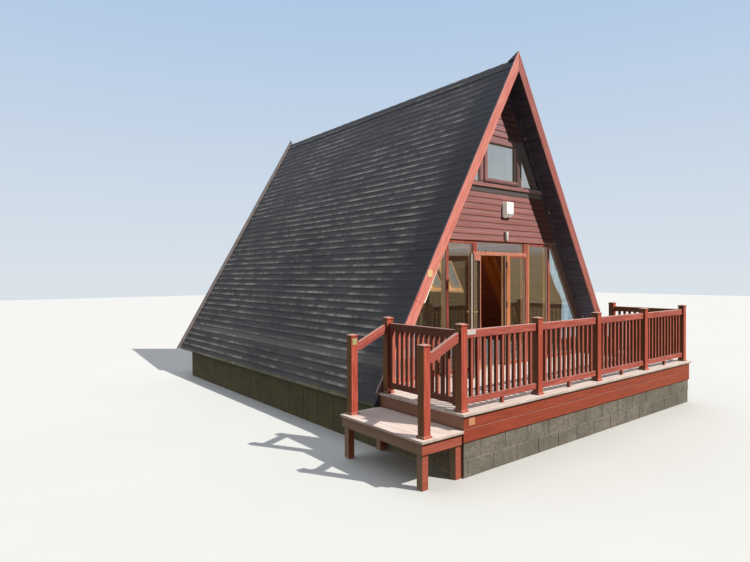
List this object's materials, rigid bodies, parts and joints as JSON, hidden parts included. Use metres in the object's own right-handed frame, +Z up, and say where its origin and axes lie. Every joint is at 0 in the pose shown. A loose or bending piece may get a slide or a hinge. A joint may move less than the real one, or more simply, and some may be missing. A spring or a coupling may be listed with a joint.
{
  "type": "a-frame beach hut",
  "caption": "Steep A-frame timber beach hut with a glazed gable front, a hinged glass door and a raised deck with balustrade, gate and side step.",
  "frame": {"origin": "middle of the underside of the front plinth wall of the house, on the level floor", "axes": "+X to the right seen from the front, +Y to the back along the ridge, +Z up"},
  "size_m": [6.9986, 9.394, 6.216],
  "materials": {
    "roof_covering": "matt",
    "barge_paint": "satin",
    "cladding": "satin",
    "frame_timber": "satin",
    "glass": "clear",
    "lining": "satin",
    "pine": "satin",
    "masonry": "rough",
    "house_plinth": "rough",
    "deck_boards": "matt",
    "deck_timber": "satin",
    "balustrade": "satin",
    "brass": "polished",
    "white_plastic": "gloss",
    "hinge_metal": "satin",
    "bracket_metal": "satin",
    "curtain_cloth": "matt"
  },
  "bodies": {
    "hut": {"house_front_plinth": "house_plinth", "house_rear_plinth": "house_plinth", "house_side_plinths": "house_plinth", "ground_floor": "pine", "upper_floor": "lining", "left_roof_slope": "roof_covering", "right_roof_slope": "roof_covering", "left_lining": "lining", "right_lining": "lining", "ridge_cap": "roof_covering", "front_left_bargeboard": "barge_paint", "front_right_bargeboard": "barge_paint", "rear_left_bargeboard": "barge_paint", "rear_right_bargeboard": "barge_paint", "roof_window_frames": "pine", "roof_window_glass": "glass", "front_left_frame": "frame_timber", "front_right_frame": "frame_timber", "door_head": "frame_timber", "front_glass": "glass", "door_hinges": "brass", "front_cladding": "cladding", "upper_window_frame": "frame_timber", "upper_sash": "frame_timber", "upper_window_glass": "glass", "window_sill": "frame_timber", "front_gable_top": "cladding", "rear_wall": "cladding", "rear_window_frames": "frame_timber", "rear_window_glass": "glass", "alarm_box": "white_plastic", "wall_lamp": "white_plastic", "curtains": "curtain_cloth", "deck_floor": "deck_boards", "deck_front_fascia": "deck_timber", "deck_side_fascias": "deck_timber", "deck_front_plinth": "masonry", "deck_side_plinths": "masonry", "deck_posts": "balustrade", "front_panel_1": "balustrade", "front_panel_2": "balustrade", "front_panel_3": "balustrade", "front_panel_4": "balustrade", "right_panel": "balustrade", "rail_brackets": "bracket_metal", "gate_hinges": "hinge_metal", "step_tread": "deck_boards", "step_side_boards": "deck_timber", "step_end_board": "deck_timber", "step_legs": "deck_timber", "newel_posts": "balustrade", "handrails": "balustrade"},
    "door": {"door_leaf": "frame_timber", "door_glass": "glass", "door_handles": "brass"},
    "gate": {"gate": "balustrade"}
  },
  "joints": [
    {"name": "door_hinge", "type": "hinge", "parent": "hut", "child": "door", "pos_m": [-0.6955, -0.11, 0.76], "axis": [0, 0, 1], "range_deg": [-18, 147]},
    {"name": "gate_hinge", "type": "hinge", "parent": "hut", "child": "gate", "pos_m": [-2.965, -1.824, 0.76], "axis": [0, 0, -1], "range_deg": [0, 90]}
  ]
}
